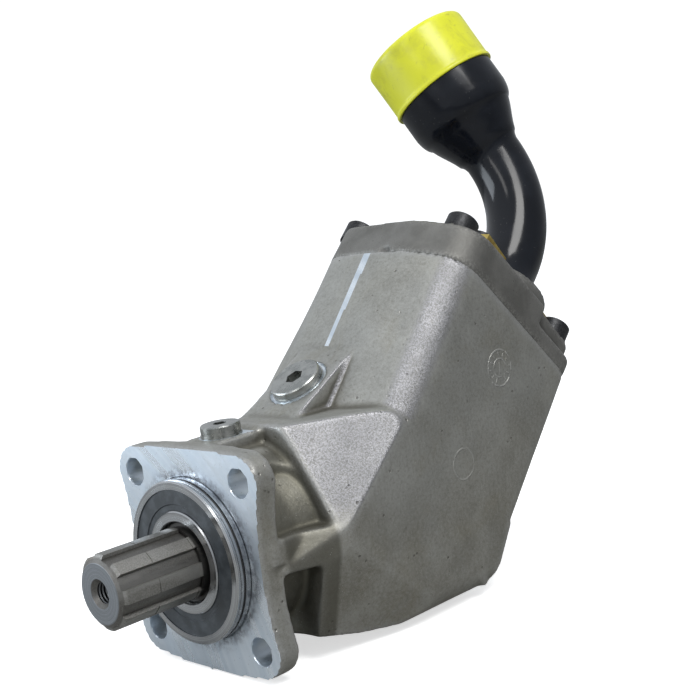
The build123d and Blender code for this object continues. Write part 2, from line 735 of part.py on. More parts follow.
def fitting_plane():
    """Origin on the suction port's face, z along the barrel axis, x towards the elbow's inside."""
    origin = PIVOT + B_DIR * PORT_T + E_DIR * SUCTION_E + Vector(SUCTION_X, 0, 0)
    inside = HOSE_AXIS - B_DIR * HOSE_AXIS.dot(B_DIR)
    return Plane(origin=origin, x_dir=inside, z_dir=B_DIR)


def elbow_angle():
    return math.degrees(math.acos(HOSE_AXIS.normalized().dot(B_DIR)))


def hose_plane():
    """Origin where the elbow ends, z along the hose end."""
    a = math.radians(elbow_angle())
    local = Pos(ELBOW_R * (1 - math.cos(a)), 0, ELBOW_STRAIGHT + ELBOW_R * math.sin(a))
    return Plane(fitting_plane().location * local * Rot(0, elbow_angle(), 0))


def fitting_shape(inset):
    """Straight foot, elbow, cone and hose end, all smaller by the same inset."""
    r = TUBE_R - inset
    foot = Pos(0, 0, ELBOW_STRAIGHT / 2) * Cylinder(r, ELBOW_STRAIGHT)
    ring = Pos(0, 0, ELBOW_STRAIGHT) * Circle(r)
    axis = Axis((ELBOW_R, 0, ELBOW_STRAIGHT), (0, 1, 0))
    bend = revolve(ring, axis=axis, revolution_arc=elbow_angle())
    end = HOSE_END_R
    cone = [(0, 0), (TUBE_R, 0), (18.7, 5), (29.0, 23), (31.0, 28)]
    cone += [(end, CONE_L), (end, CONE_L + HOSE_END_L)]
    cone = [(max(x - inset, 0), z) for x, z in cone] + [(0, CONE_L + HOSE_END_L)]
    return fitting_plane().location * (foot + bend) + turned(cone, hose_plane())


def suction_fitting():
    plane = fitting_plane()
    body = fitting_shape(0)
    r = COLLAR_R
    collar = [(0, 0.1), (r, 0.1), (r, COLLAR_T - 0.6), (r - 0.6, COLLAR_T), (0, COLLAR_T)]
    body = body + turned(collar, plane)
    spigot = [(0, -14), (17.2, -14), (17.95, -13), (17.95, -9.4), (16.3, -9.4), (16.3, -6.8)]
    spigot += [(17.95, -6.8), (17.95, 1), (0, 1)]
    body = body + turned(spigot, plane)
    body = body - fitting_shape(TUBE_WALL) - rod(TUBE_R - TUBE_WALL, -15, 2, plane)
    end = CONE_L + HOSE_END_L
    return body - rod(HOSE_END_R - TUBE_WALL, end - 1, end + 1, hose_plane())


def suction_o_ring():
    return torus_ring(17.15, 0.83, -8.1, fitting_plane())


def clamp_frames():
    """A frame at each clamp: origin on the port face's centre, x towards the clamp's screw."""
    frames = []
    for x, y in clamp_places():
        angle = math.degrees(math.atan2(y - PORT_Y, x - SUCTION_X))
        frames.append(BARREL.location * Pos(SUCTION_X, PORT_Y, PORT_T) * Rot(0, 0, angle))
    return frames


def suction_clamps():
    """Two stepped clamps that hold the fitting's collar down."""
    step = COLLAR_T + 0.2
    clamps = []
    for frame in clamp_frames():
        bridge = Pos(28.5, 0, (step + CLAMP_T) / 2) * Box(22, 22, CLAMP_T - step)
        foot = Pos(31.4, 0, step / 2 + 0.1) * Box(16.2, 22, step)
        body = bridge + foot
        body = body - Cylinder(TUBE_R + 0.7, 40)
        body = body - Pos(0, 0, step / 2) * Cylinder(COLLAR_R + 0.7, step + 0.02)
        body = body - Pos(CLAMP_REACH, 0, 6) * Cylinder(4.4, 20)
        clamps.append(frame * body)
    return Compound(clamps)


def clamp_screws():
    screws = []
    for frame in clamp_frames():
        screws.append(screw_at(CLAMP_REACH, 0, CLAMP_T + 0.02, 4.0, 23, 6.5, 4.8, Plane(frame)))
    return Compound(screws)


def protective_cap():
    """Thin plastic cup pushed over the hose end."""
    start = CONE_L + HOSE_VISIBLE
    stop = start + COVER_REACH
    r_in = HOSE_END_R + 0.2
    outer = Pos(0, 0, (start + stop) / 2) * Cylinder(r_in + COVER_WALL, COVER_REACH)
    outer = fillet(outer.edges().group_by(Axis.Z)[-1], 4)
    inner = Pos(0, 0, (start + stop) / 2 - COVER_WALL) * Cylinder(r_in, COVER_REACH)
    inner = fillet(inner.edges().group_by(Axis.Z)[-1], 3)
    lip = Pos(0, 0, start + 1.1) * (Cylinder(r_in + COVER_WALL + 0.6, 2.2) - Cylinder(r_in + 0.5, 3))
    return hose_plane().location * (outer - inner + lip)


# ---- plugs ----
def plug(frame, head_r, thread_r, thread_l, washer_t, head_top):
    h = head_top - washer_t
    body = turned([(0, -thread_l), (thread_r - 0.6, -thread_l), (thread_r, -thread_l + 0.8),
                   (thread_r, washer_t), (head_r, washer_t), (head_r, head_top - 0.6),
                   (head_r - 0.6, head_top), (0, head_top)], frame)
    key = Pos(0, 0, head_top - 0.8 * h - 3) * extrude(RegularPolygon(0.36 * head_r, 6), 20)
    return body - frame.location * key


def drain_plug():
    return plug(DRAIN_SEAT, 14.0, 8.95, 12.0, 1.5, 5.4)


def drain_plug_washer():
    return tube(14.6, 9.3, 0.02, 1.48, DRAIN_SEAT)


def vent_plug():
    return plug(VENT_SEAT, 10.0, 4.95, 10.0, 1.2, 6.0)


def vent_plug_washer():
    return tube(10.4, 5.2, 0.02, 1.18, VENT_SEAT)


# ---- every piece, one file each ----
SINGLE = [
    pump_housing, end_cap, end_cap_o_ring, end_cap_screws, housing_dowels,
    valve_plate, valve_plate_dowel, barrel_support_pin,
    front_bearing_outer_ring, spigot_o_ring, front_bearing_seal, rear_bearing_outer_ring,
    carrier_circlip, seal_carrier, seal_carrier_o_ring, shaft_seals,
    drain_plug, drain_plug_washer, vent_plug, vent_plug_washer,
    suction_clamps, clamp_screws, suction_fitting, suction_o_ring, protective_cap,
    input_shaft, front_bearing_inner_ring, rear_bearing_inner_ring, shaft_timing_gear,
    front_bearing_balls, front_bearing_cage, rear_bearing_rollers, rear_bearing_cage,
    cylinder_barrel, barrel_timing_gear, barrel_bushing, barrel_springs,
]
REPEATED = [piston_retaining_ring, piston, piston_ring]


def main():
    os.makedirs("parts", exist_ok=True)
    for make in SINGLE:
        export_step(make(), "parts/" + make.__name__ + ".step")
    for make in REPEATED:
        for i in range(PISTONS):
            export_step(make(i), "parts/" + make.__name__ + "_" + str(i + 1) + ".step")


main()
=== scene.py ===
import json
import math
import bmesh
import bpy
import numpy as np
from mathutils import Matrix, Vector, noise
from mathutils.bvhtree import BVHTree
from mathutils.kdtree import KDTree


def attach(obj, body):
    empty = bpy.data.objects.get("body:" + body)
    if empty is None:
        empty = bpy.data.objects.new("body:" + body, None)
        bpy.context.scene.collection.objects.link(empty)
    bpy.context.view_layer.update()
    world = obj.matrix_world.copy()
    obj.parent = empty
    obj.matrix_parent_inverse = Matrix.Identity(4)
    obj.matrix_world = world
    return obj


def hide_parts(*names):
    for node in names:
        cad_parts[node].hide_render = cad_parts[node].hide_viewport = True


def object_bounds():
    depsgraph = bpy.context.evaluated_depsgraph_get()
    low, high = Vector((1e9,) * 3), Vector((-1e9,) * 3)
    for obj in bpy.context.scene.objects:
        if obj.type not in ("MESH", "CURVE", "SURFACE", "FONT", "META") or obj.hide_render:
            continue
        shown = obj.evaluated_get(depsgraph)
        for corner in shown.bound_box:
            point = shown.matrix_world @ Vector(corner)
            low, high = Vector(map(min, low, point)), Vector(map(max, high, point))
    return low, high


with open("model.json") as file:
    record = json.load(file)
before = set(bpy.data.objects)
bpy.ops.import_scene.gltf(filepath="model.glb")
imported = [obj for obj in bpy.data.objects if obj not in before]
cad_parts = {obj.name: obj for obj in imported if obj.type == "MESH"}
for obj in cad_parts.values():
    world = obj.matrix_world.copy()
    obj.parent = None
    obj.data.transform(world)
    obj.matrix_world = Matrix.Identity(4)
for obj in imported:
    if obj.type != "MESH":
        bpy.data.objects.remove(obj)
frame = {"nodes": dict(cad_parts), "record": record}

# Looks of a bent-axis axial piston pump. Metres, in the CAD frame: shaft along Y with its nose
# towards -Y, +Z up, barrel axis leaning up and back by 45 degrees from the pivot.
cad_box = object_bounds()
NODES = frame["nodes"]
MM = 0.001

# ---- places that the design fixes ----
ROOT_HALF = math.sqrt(0.5)
PIVOT = Vector((0, 0.1, 0))
B_DIR = Vector((0, ROOT_HALF, ROOT_HALF))      # along the barrel axis
E_DIR = Vector((0, -ROOT_HALF, ROOT_HALF))     # towards the inner side of the bend
JOINT_T = 0.1218                               # end cap joint, along the barrel axis from the pivot
PORT_T = 0.152                                 # face of the port bosses
SHAFT_AT = (0, 0, 0)
SHAFT_AXIS = (0, 1, 0)
FLANGE_T = 0.012
BOLT_AT = 0.040
BOLT_HOLE_R = 0.007
BEARING_BORE_R = 0.0477
CHAMBER_R = 0.051
DRAIN_SEAT_R = 0.0165
VENT_SEAT_R = 0.0116
RIB_HALF = 0.0028
RIB_START = 0.062
SIDE_X = 0.0600                                # the case's right side starts about here
SUCTION_XY = (0.028, 0.0133)                   # in barrel coordinates, y to the outer side
PRESSURE_XY = (-0.027, 0.0)
SCREW_XY = [(0.0415, -0.0445), (-0.0345, -0.0455), (0.044, 0.052), (-0.044, 0.052)]
HOSE_AXIS = Vector((-0.474, -0.177, 0.862)).normalized()
TUBE_R = 0.0175
TUBE_WALL = 0.003
ELBOW_R = 0.070
ELBOW_STRAIGHT = 0.0163
ELBOW_TURN = math.acos(HOSE_AXIS.dot(B_DIR))
HOSE_END_R = 0.03175
CONE_L = 0.033
HOSE_END_L = 0.042
COVER_START = 0.049
COVER_REACH = 0.034
COVER_WALL = 0.0013


def barrel_point(x, y, t):
    """A point from barrel coordinates: y towards the bend's outer side, t along the barrel axis."""
    return PIVOT + Vector((x, 0, 0)) - E_DIR * y + B_DIR * t


# ---- camera ----
CAMERA_AT = (0.4775, -0.3456, 0.1638)
CAMERA_AZIMUTH = math.radians(45.71)
CAMERA_ELEVATION = math.radians(7.18)
CAMERA_ROLL = math.radians(-7.35)
LENS = 64.29


def make_camera():
    """Camera from its azimuth, elevation and roll."""
    data = bpy.data.cameras.new("camera")
    data.lens = LENS
    data.sensor_width = 36.0
    data.clip_start = 0.01
    data.clip_end = 50.0
    camera = bpy.data.objects.new("camera", data)
    bpy.context.scene.collection.objects.link(camera)
    a, e, r = CAMERA_AZIMUTH, CAMERA_ELEVATION, CAMERA_ROLL
    back = Vector((math.sin(a) * math.cos(e), -math.cos(a) * math.cos(e), math.sin(e)))
    right = Vector((math.cos(a), math.sin(a), 0))
    up = back.cross(right)
    x_axis = right * math.cos(r) + up * math.sin(r)
    y_axis = up * math.cos(r) - right * math.sin(r)
    turn = Matrix((x_axis, y_axis, back)).transposed().to_4x4()
    camera.matrix_world = Matrix.Translation(CAMERA_AT) @ turn
    bpy.context.scene.camera = camera


make_camera()


# ---- materials ----
class Shader:
    """Builds one material's node tree from short calls."""

    def __init__(self, name):
        self.material = bpy.data.materials.new(name)
        self.material.use_nodes = True
        self.tree = self.material.node_tree
        self.tree.nodes.clear()
        out = self.tree.nodes.new("ShaderNodeOutputMaterial")
        self.bsdf = self.tree.nodes.new("ShaderNodeBsdfPrincipled")
        self.tree.links.new(self.bsdf.outputs[0], out.inputs["Surface"])
        self.where = self.tree.nodes.new("ShaderNodeTexCoord").outputs["Object"]

    def join(self, value, socket):
        if isinstance(value, bpy.types.NodeSocket):
            self.tree.links.new(value, socket)
        else:
            socket.default_value = value

    def set(self, **values):
        for name, value in values.items():
            self.join(value, self.bsdf.inputs[name.replace("_", " ")])

    def stretched(self, scale):
        node = self.tree.nodes.new("ShaderNodeMapping")
        self.join(self.where, node.inputs["Vector"])
        node.inputs["Scale"].default_value = scale
        return node.outputs[0]

    def noise(self, scale, detail=3.0, rough=0.55, at=None, distortion=0.0):
        node = self.tree.nodes.new("ShaderNodeTexNoise")
        self.join(at or self.where, node.inputs["Vector"])
        node.inputs["Scale"].default_value = scale
        node.inputs["Detail"].default_value = detail
        node.inputs["Roughness"].default_value = rough
        node.inputs["Distortion"].default_value = distortion
        return node.outputs[0]

    def cells(self, scale):
        node = self.tree.nodes.new("ShaderNodeTexVoronoi")
        self.join(self.where, node.inputs["Vector"])
        node.inputs["Scale"].default_value = scale
        return node.outputs["Distance"]

    def math(self, operation, a, b=0.0):
        node = self.tree.nodes.new("ShaderNodeMath")
        node.operation = operation
        self.join(a, node.inputs[0])
        self.join(b, node.inputs[1])
        return node.outputs[0]

    def vector(self, operation, a, b=(0, 0, 0)):
        node = self.tree.nodes.new("ShaderNodeVectorMath")
        node.operation = operation
        self.join(a, node.inputs[0])
        self.join(b, node.inputs[1])
        scalar = operation in ("DOT_PRODUCT", "LENGTH", "DISTANCE")
        return node.outputs["Value" if scalar else "Vector"]

    def spread(self, value, low, high, to_low=0.0, to_high=1.0):
        """Maps value from low..high to to_low..to_high with a smooth step, clamped."""
        node = self.tree.nodes.new("ShaderNodeMapRange")
        node.interpolation_type = "SMOOTHSTEP"
        self.join(value, node.inputs["Value"])
        node.inputs["From Min"].default_value = low
        node.inputs["From Max"].default_value = high
        node.inputs["To Min"].default_value = to_low
        node.inputs["To Max"].default_value = to_high
        return node.outputs[0]

    def mix(self, share, a, b):
        """Mixes two colours."""
        node = self.tree.nodes.new("ShaderNodeMix")
        node.data_type = "RGBA"
        self.join(share, node.inputs["Factor"])
        sockets = [s for s in node.inputs if s.type == "RGBA"]
        for socket, colour in zip(sockets, (a, b)):
            self.join(colour if isinstance(colour, bpy.types.NodeSocket) else (*colour, 1.0), socket)
        return [s for s in node.outputs if s.type == "RGBA"][0]

    def blend(self, share, a, b):
        """Mixes two values."""
        node = self.tree.nodes.new("ShaderNodeMix")
        node.data_type = "FLOAT"
        self.join(share, node.inputs["Factor"])
        sockets = [s for s in node.inputs if s.type == "VALUE" and s.name in ("A", "B")]
        for socket, value in zip(sockets, (a, b)):
            self.join(value, socket)
        return [s for s in node.outputs if s.type == "VALUE"][0]

    def attribute(self, name):
        node = self.tree.nodes.new("ShaderNodeAttribute")
        node.attribute_name = name
        return node.outputs["Fac"]

    def bump(self, height, distance, strength):
        node = self.tree.nodes.new("ShaderNodeBump")
        self.join(height, node.inputs["Height"])
        node.inputs["Strength"].default_value = strength
        node.inputs["Distance"].default_value = distance
        self.join(node.outputs[0], self.bsdf.inputs["Normal"])

    def parts(self):
        """The place's x, y and z."""
        node = self.tree.nodes.new("ShaderNodeSeparateXYZ")
        self.join(self.where, node.inputs[0])
        return node.outputs[0], node.outputs[1], node.outputs[2]

    def combine(self, x, y, z):
        node = self.tree.nodes.new("ShaderNodeCombineXYZ")
        for value, socket in zip((x, y, z), node.inputs):
            self.join(value, socket)
        return node.outputs[0]

    def along(self, direction, origin):
        """Distance along a direction from an origin."""
        offset = self.vector("SUBTRACT", self.where, tuple(origin))
        return self.vector("DOT_PRODUCT", offset, tuple(direction))

    def radius(self, direction, origin):
        """Distance from an axis, and height along it."""
        offset = self.vector("SUBTRACT", self.where, tuple(origin))
        height = self.vector("DOT_PRODUCT", offset, tuple(direction))
        square = self.math("MULTIPLY", height, height)
        length = self.vector("LENGTH", offset)
        rest = self.math("SUBTRACT", self.math("MULTIPLY", length, length), square)
        return self.math("SQRT", self.math("MAXIMUM", rest, 0.0)), height

    def below(self, value, limit, soft):
        """1 where value is under the limit, 0 above it, with a soft edge."""
        return self.spread(value, limit - soft, limit + soft, 1.0, 0.0)


def side_marks(s):
    """Foundry marks on the right side: a date ring and an ejector pin's circle, no letters."""
    x, y, z = s.parts()
    side = s.spread(x, SIDE_X, SIDE_X + 0.0006)
    ring_at = barrel_point(0, 0.0054, 0.092)
    pin_at = barrel_point(0, 0.0093, 0.0348)
    r, _ = s.radius((1, 0, 0), ring_at)
    dy = s.math("SUBTRACT", y, ring_at.y)
    dz = s.math("SUBTRACT", z, ring_at.z)
    turn = s.math("ARCTAN2", dy, dz)
    ticks = s.spread(s.math("COSINE", s.math("MULTIPLY", turn, 12.0)), 0.72, 0.95)
    ticks = s.math("MULTIPLY", ticks, band(s, r, 0.0073, 0.0011))
    rings = s.math("MAXIMUM", band(s, r, 0.0097, 0.0005), band(s, r, 0.0050, 0.0004))
    spoke = s.below(s.math("ABSOLUTE", dy), 0.0004, 0.0002)
    spoke = s.math("MULTIPLY", spoke, s.below(r, 0.0030, 0.0003))
    marks = s.math("MAXIMUM", s.math("MAXIMUM", rings, ticks), spoke)
    pin, _ = s.radius((1, 0, 0), pin_at)
    marks = s.math("MAXIMUM", marks, s.math("MULTIPLY", band(s, pin, 0.0080, 0.0005), 0.6))
    worn = s.spread(s.noise(300.0, 2.0, 0.5), 0.30, 0.55)
    return s.math("MULTIPLY", s.math("MULTIPLY", marks, worn), side)


def band(s, value, middle, half):
    """1 on a narrow band about the middle value, soft at both sides."""
    return s.below(s.math("ABSOLUTE", s.math("SUBTRACT", value, middle)), half, 0.5 * half)


CAST_DARK = (0.235, 0.228, 0.196)
CAST_LIGHT = (0.335, 0.330, 0.298)
CAST_CLOUD = (0.365, 0.372, 0.362)
CAST_STAIN = (0.265, 0.246, 0.185)
CAST_GRAIN = (0.42, 0.415, 0.395)
GRIT_DARK = (0.115, 0.108, 0.088)
GRIT_LIGHT = (0.52, 0.52, 0.50)
RUBBED = (0.50, 0.50, 0.495)
# painted shade for the hollows
HOLLOW_SHADE = (0.098, 0.092, 0.070)
POCKET_SHADE = (0.100, 0.096, 0.074)
BLASTED_DARK = (0.130, 0.130, 0.140)
BLASTED_LIGHT = (0.42, 0.42, 0.45)
PIT = (0.065, 0.058, 0.045)
FACET_NORMAL = (0.742, -0.445, 0.501)          # the bright facet beside the vent plug
POCKET_BACK = 0.040                            # how far back the pockets at the flange reach


def cast_aluminium():
    """Die-cast and blasted aluminium, with pits and stains, and milled where it was machined."""
    s = Shader("cast_aluminium")
    grain = s.noise(2600.0, 2.0, 0.6)
    blast = s.noise(1150.0, 3.0, 0.75)
    mottle = s.noise(38.0, 5.0, 0.62)
    clouds = s.noise(11.0, 3.0, 0.5)
    flow = s.noise(60.0, 4.0, 0.6, s.stretched((1.0, 0.35, 0.35)), 0.6)
    edge = s.attribute("edge")
    hollow = s.attribute("hollow")
    base = s.mix(s.spread(mottle, 0.34, 0.68), CAST_DARK, CAST_LIGHT)
    base = s.mix(s.spread(clouds, 0.4, 0.62, 0.0, 0.55), base, CAST_CLOUD)
    base = s.mix(s.spread(flow, 0.52, 0.75, 0.0, 0.45), base, CAST_STAIN)
    base = s.mix(s.spread(grain, 0.35, 0.68, 0.0, 0.35), base, CAST_GRAIN)
    grit = s.noise(520.0, 4.0, 0.8)
    base = s.mix(s.spread(grit, 0.50, 0.66, 0.0, 0.26), base, GRIT_DARK)
    base = s.mix(s.spread(grit, 0.50, 0.34, 0.0, 0.22), base, GRIT_LIGHT)
    bright = s.math("MULTIPLY", edge, s.spread(blast, 0.34, 0.64, 0.25, 1.0))
    base = s.mix(s.math("MULTIPLY", bright, 0.7), base, RUBBED)
    # Darker in the hollows: painted shade.
    base = s.mix(s.math("MULTIPLY", hollow, 0.75), base, HOLLOW_SHADE)
    across, along, height_z = s.parts()
    facing = s.vector("DOT_PRODUCT", normal_of(s), FACET_NORMAL)
    scoured = s.math("MULTIPLY", s.spread(facing, 0.86, 0.97), s.spread(height_z, 0.004, 0.022))
    scoured = s.math("MULTIPLY", scoured, s.spread(along, POCKET_BACK, POCKET_BACK + 0.004))
    sparkle = s.math("MULTIPLY", scoured, s.spread(blast, 0.40, 0.58, 0.0, 1.0))
    base = s.mix(s.math("MULTIPLY", scoured, 0.60), base, BLASTED_DARK)
    base = s.mix(s.math("MULTIPLY", sparkle, 0.55), base, BLASTED_LIGHT)
    behind = s.spread(along, FLANGE_T + 0.0005, FLANGE_T + 0.0045)
    behind = s.math("MULTIPLY", behind, s.below(along, POCKET_BACK, 0.0015))
    behind = s.math("MULTIPLY", behind, s.spread(s.math("ABSOLUTE", across), 0.018, 0.024))
    base = s.mix(s.math("MULTIPLY", behind, 0.72), base, POCKET_SHADE)
    pit_size = s.cells(230.0)
    pit_here = s.spread(s.noise(70.0, 2.0, 0.5), 0.55, 0.66)
    pits = s.math("MULTIPLY", s.below(pit_size, 0.15, 0.07), pit_here)
    base = s.mix(s.math("MULTIPLY", pits, 0.6), base, PIT)
    glint = s.math("MULTIPLY", s.below(s.cells(640.0), 0.13, 0.05), s.spread(s.noise(160.0), 0.52, 0.7))
    base = s.mix(s.math("MULTIPLY", glint, 0.5), base, (0.62, 0.62, 0.62))
    marks = side_marks(s)
    base = s.mix(s.math("MULTIPLY", marks, 0.65), base, (0.50, 0.50, 0.485))
    milled, milled_bump, milled_rough = milled_look(s)
    machined = s.attribute("machined")
    s.set(Base_Color=s.mix(machined, base, milled), Metallic=0.80)
    rough = s.spread(mottle, 0.3, 0.7, 0.46, 0.58)
    rough = s.blend(bright, rough, 0.36)
    s.set(Roughness=s.blend(machined, rough, milled_rough))
    height = s.math("ADD", s.math("MULTIPLY", grain, 0.30), s.math("MULTIPLY", s.noise(700.0, 3.0), 0.45))
    height = s.math("SUBTRACT", height, s.math("MULTIPLY", pits, 1.8))
    height = s.math("ADD", height, s.math("MULTIPLY", s.noise(150.0, 2.0), 1.1))
    height = s.math("ADD", height, s.math("MULTIPLY", blast, s.math("MULTIPLY", scoured, 1.2)))
    height = s.math("ADD", height, s.math("MULTIPLY", marks, 2.6))
    s.bump(s.blend(machined, height, milled_bump), 0.00022, 0.8)
    return s.material


def normal_of(s):
    """The surface's own direction, in the object's frame."""
    return s.tree.nodes.new("ShaderNodeTexCoord").outputs["Normal"]


def milled_look(s):
    """Face-milled aluminium: broad cutter arcs, fine feed lines, dull smudges round the spigot."""
    sweep = s.vector("DISTANCE", s.where, (-0.13, 0.0, -0.10))
    feed = s.noise(2200.0, 1.0, 0.5, s.combine(sweep, 0.0, 0.0))
    bands = s.noise(95.0, 2.0, 0.5, s.combine(sweep, 0.0, 0.0))
    bloom = s.noise(26.0, 3.0, 0.6)
    colour = s.mix(s.spread(bands, 0.35, 0.65), (0.56, 0.63, 0.70), (0.77, 0.83, 0.89))
    # Bright blue-white patches: painted glints of the face mill.
    colour = s.mix(s.spread(bloom, 0.5, 0.72, 0.0, 0.6), colour, (0.80, 0.86, 0.92))
    colour = s.mix(s.spread(feed, 0.55, 0.8, 0.0, 0.3), colour, (0.45, 0.50, 0.56))
    from_axis, _ = s.radius(SHAFT_AXIS, SHAFT_AT)
    patches = s.spread(s.noise(260.0, 4.0, 0.7), 0.42, 0.6)
    smudge = s.math("MULTIPLY", s.below(from_axis, 0.0445, 0.004), patches)
    colour = s.mix(s.math("MULTIPLY", smudge, 0.7), colour, (0.17, 0.18, 0.22))
    specks = s.below(s.cells(420.0), 0.12, 0.04)
    colour = s.mix(s.math("MULTIPLY", specks, 0.35), colour, (0.2, 0.21, 0.24))
    rough = s.spread(bands, 0.35, 0.65, 0.36, 0.24)
    return colour, s.math("MULTIPLY", feed, 0.12), rough


def cap_iron():
    """Blasted grey iron, darker than the housing."""
    s = Shader("cast_iron_cap")
    grain = s.noise(2100.0, 3.0, 0.6)
    mottle = s.noise(45.0, 4.0, 0.6)
    edge = s.attribute("edge")
    hollow = s.attribute("hollow")
    base = s.mix(s.spread(mottle, 0.35, 0.66), (0.135, 0.134, 0.126), (0.205, 0.203, 0.193))
    base = s.mix(s.spread(grain, 0.42, 0.66, 0.0, 0.5), base, (0.19, 0.185, 0.172))
    specks = s.math("MULTIPLY", s.below(s.cells(480.0), 0.14, 0.05), s.spread(s.noise(120.0), 0.5, 0.65))
    base = s.mix(s.math("MULTIPLY", specks, 0.6), base, (0.03, 0.028, 0.025))
    wear = s.math("MULTIPLY", edge, s.spread(s.noise(700.0, 3.0, 0.7), 0.4, 0.66))
    base = s.mix(s.math("MULTIPLY", wear, 0.7), base, (0.30, 0.295, 0.28))
    # Darker in the hollows: painted shade.
    base = s.mix(s.math("MULTIPLY", hollow, 0.6), base, (0.04, 0.036, 0.03))
    machined = s.attribute("machined")
    lathe = s.noise(900.0, 1.0, 0.5, s.combine(s.along(B_DIR, PIVOT), s.vector("LENGTH", s.where), 0.0))
    cut = s.mix(s.spread(lathe, 0.4, 0.6), (0.30, 0.30, 0.30), (0.42, 0.42, 0.42))
    s.set(Base_Color=s.mix(machined, base, cut), Metallic=0.7)
    s.set(Roughness=s.blend(machined, s.spread(grain, 0.3, 0.7, 0.5, 0.64), 0.34))
    height = s.math("ADD", s.math("MULTIPLY", grain, 0.4), s.noise(420.0, 3.0))
    s.bump(s.blend(machined, height, 0.5), 0.00028, 0.8)
    return s.material


def turned_steel(name, dark, light, rough, axis, origin):
    """Steel turned or ground about an axis: fine rings, faint stains and small nicks."""
    s = Shader(name)
    r, h = s.radius(axis, origin)
    rings = s.noise(3800.0, 2.0, 0.6, s.combine(r, h, 0.0))
    broad = s.noise(420.0, 2.0, 0.5, s.combine(r, h, 0.0))
    smear = s.noise(55.0, 4.0, 0.6)
    colour = s.mix(s.spread(rings, 0.35, 0.65), dark, light)
    colour = s.mix(s.spread(smear, 0.5, 0.7, 0.0, 0.25), colour, tuple(0.45 * c for c in dark))
    nicks = s.math("MULTIPLY", s.below(s.cells(700.0), 0.12, 0.04), s.spread(s.noise(190.0), 0.55, 0.7))
    colour = s.mix(s.math("MULTIPLY", nicks, 0.5), colour, tuple(0.3 * c for c in dark))
    level = s.math("ADD", s.spread(broad, 0.35, 0.65, -0.05, 0.05), s.spread(smear, 0.4, 0.7, 0.0, 0.12))
    s.set(Base_Color=colour, Metallic=1.0, Roughness=s.math("ADD", level, rough))
    s.bump(s.math("SUBTRACT", rings, s.math("MULTIPLY", nicks, 3.0)), 0.00003, 0.6)
    return s.material


def phosphated_shaft():
    """Dark grey phosphated steel, rubbed lighter on the spline, with a bare turned end face."""
    s = Shader("shaft_steel")
    r, h = s.radius(SHAFT_AXIS, SHAFT_AT)
    grain = s.noise(1700.0, 3.0, 0.65)
    rub = s.noise(90.0, 4.0, 0.6, s.stretched((1.0, 0.18, 1.0)))
    colour = s.mix(s.spread(grain, 0.35, 0.65), (0.215, 0.210, 0.195), (0.315, 0.308, 0.292))
    colour = s.mix(s.spread(rub, 0.48, 0.68, 0.0, 0.6), colour, (0.46, 0.455, 0.435))
    # Darker in the spline's roots: painted shade.
    root = s.below(r, 0.0165, 0.0003)
    nose = s.below(h, -0.010, 0.0006)
    colour = s.mix(s.math("MULTIPLY", root, 0.45), colour, (0.035, 0.03, 0.026))
    face = s.below(h, -0.0548, 0.00012)
    turned_face = s.noise(2400.0, 2.0, 0.5, s.combine(r, 0.0, 0.0))
    bare = s.mix(s.spread(turned_face, 0.35, 0.65), (0.18, 0.19, 0.205), (0.27, 0.285, 0.30))
    colour = s.mix(face, colour, bare)
    # The recess behind the spline, painted dark: painted shade.
    recess = s.math("SUBTRACT", s.below(h, -0.0046, 0.0004), nose)
    colour = s.mix(s.math("MULTIPLY", recess, 0.8), colour, (0.025, 0.024, 0.023))
    bore = s.math("MULTIPLY", s.below(r, 0.0056, 0.0002), s.spread(h, -0.0530, -0.0525))
    colour = s.mix(bore, colour, (0.16, 0.165, 0.17))
    s.set(Base_Color=colour, Metallic=0.9, Roughness=s.spread(grain, 0.3, 0.7, 0.34, 0.5))
    _, _, up = s.parts()
    turn = s.math("ARCTAN2", s.parts()[0], up)
    pitch = s.math("SUBTRACT", s.math("MULTIPLY", h, 3590.0), turn)
    thread = s.math("MULTIPLY", s.math("COSINE", pitch), s.math("MULTIPLY", bore, 12.0))
    grit = s.math("ADD", grain, s.math("MULTIPLY", rub, 0.6))
    s.bump(s.math("ADD", grit, thread), 0.00006, 0.7)
    return s.material


def black_oxide():
    """Black-oxide screw with a knurled head and lighter patches of dust."""
    s = Shader("black_oxide")
    grain = s.noise(1500.0, 3.0, 0.6)
    dust = s.noise(210.0, 4.0, 0.65)
    colour = s.mix(s.spread(grain, 0.4, 0.62), (0.018, 0.019, 0.021), (0.045, 0.046, 0.049))
    colour = s.mix(s.spread(dust, 0.55, 0.75, 0.0, 0.5), colour, (0.11, 0.105, 0.095))
    s.set(Base_Color=colour, Metallic=0.65, Roughness=s.spread(dust, 0.35, 0.7, 0.38, 0.58))
    s.bump(grain, 0.00005, 0.6)
    return s.material


def gloss_paint():
    """Thick gloss black paint over a steel tube: slight orange peel, dust and small chips."""
    s = Shader("black_gloss_paint")
    peel = s.noise(240.0, 2.0, 0.45)
    dust = s.noise(1400.0, 3.0, 0.7)
    haze = s.noise(32.0, 3.0, 0.6)
    colour = s.mix(s.spread(haze, 0.4, 0.7), (0.0030, 0.0040, 0.0070), (0.0070, 0.0090, 0.0140))
    dots = s.math("MULTIPLY", s.below(s.cells(430.0), 0.075, 0.03), s.spread(s.noise(90.0), 0.5, 0.62))
    colour = s.mix(s.math("MULTIPLY", dots, 0.6), colour, (0.17, 0.165, 0.15))
    s.set(Base_Color=colour, Metallic=0.0, Roughness=s.spread(haze, 0.35, 0.7, 0.14, 0.24))
    s.set(IOR=1.37, Coat_Weight=0.12, Coat_Roughness=0.06)
    height = s.math("ADD", s.math("MULTIPLY", peel, 1.0), s.math("MULTIPLY", dust, 0.05))
    s.bump(height, 0.00012, 0.35)
    return s.material


